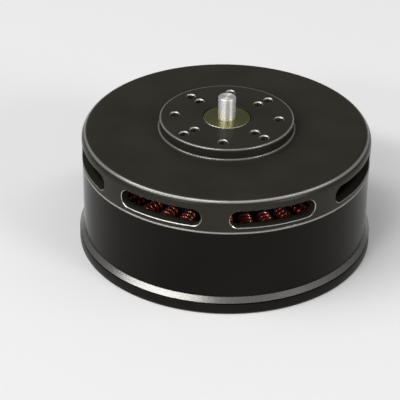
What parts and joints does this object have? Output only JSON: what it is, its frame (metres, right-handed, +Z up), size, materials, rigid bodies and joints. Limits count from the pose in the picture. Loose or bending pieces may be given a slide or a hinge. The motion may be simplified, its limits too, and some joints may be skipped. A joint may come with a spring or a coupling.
{
  "type": "brushless outrunner motor",
  "caption": "Flat brushless outrunner motor: windowed black bell with a drilled mounting boss and bright shaft stub turning over a fixed wound stator and base.",
  "frame": {"origin": "centre of the base plate's underside, on the shaft axis", "axes": "+Z up along the shaft axis, from the base towards the shaft stub; -Y faces the camera of the picture"},
  "size_m": [0.1502, 0.1502, 0.0795],
  "materials": {
    "base_black": "satin black",
    "machined_aluminium": "turned",
    "core_coating": "epoxy coated laminations",
    "enamelled_copper": "gloss enamel on copper wire",
    "bearing_steel": "ground",
    "grommet_rubber": "matte",
    "screw_black": "black oxide",
    "bell_black": "satin black anodised",
    "can_black": "semi-gloss black",
    "ring_bright": "dark with a bright cut chamfer",
    "shaft_steel": "bright ground",
    "collar_metal": "satin yellow-olive",
    "cage_brass": "plain"
  },
  "bodies": {
    "stator": {"base_plate": "base_black", "core_seat": "machined_aluminium", "bearing_tube": "machined_aluminium", "stator_core": "core_coating", "winding_phase_a": "enamelled_copper", "winding_phase_b": "enamelled_copper", "winding_phase_c": "enamelled_copper", "outer_race_upper": "bearing_steel", "outer_race_lower": "bearing_steel", "lead_grommet": "grommet_rubber", "tube_screw_1": "screw_black", "tube_screw_2": "screw_black", "tube_screw_3": "screw_black", "tube_screw_4": "screw_black"},
    "rotor": {"bell_cap": "bell_black", "flux_ring": "can_black", "lower_ring": "ring_bright", "shaft": "shaft_steel", "shaft_collar": "collar_metal", "shaft_spacer": "bearing_steel", "shaft_circlip": "screw_black", "inner_race_upper": "bearing_steel", "inner_race_lower": "bearing_steel", "collar_screw_1": "screw_black", "collar_screw_2": "screw_black", "collar_screw_3": "screw_black", "collar_screw_4": "screw_black"},
    "upper_balls": {"ball_set_upper": "cage_brass"},
    "lower_balls": {"ball_set_lower": "cage_brass"}
  },
  "joints": [
    {"name": "rotor_spin", "type": "hinge", "parent": "stator", "child": "rotor", "pos_m": [0, 0, 0.03], "axis": [0, 0, 1], "continuous": true},
    {"name": "upper_ball_spin", "type": "hinge", "parent": "stator", "child": "upper_balls", "pos_m": [0, 0, 0.0455], "axis": [0, 0, 1], "continuous": true},
    {"name": "lower_ball_spin", "type": "hinge", "parent": "stator", "child": "lower_balls", "pos_m": [0, 0, 0.0095], "axis": [0, 0, 1], "continuous": true}
  ],
  "couplings": [
    {"joint": "upper_ball_spin", "follows": "rotor_spin", "ratio": 0.4},
    {"joint": "lower_ball_spin", "follows": "rotor_spin", "ratio": 0.4}
  ]
}
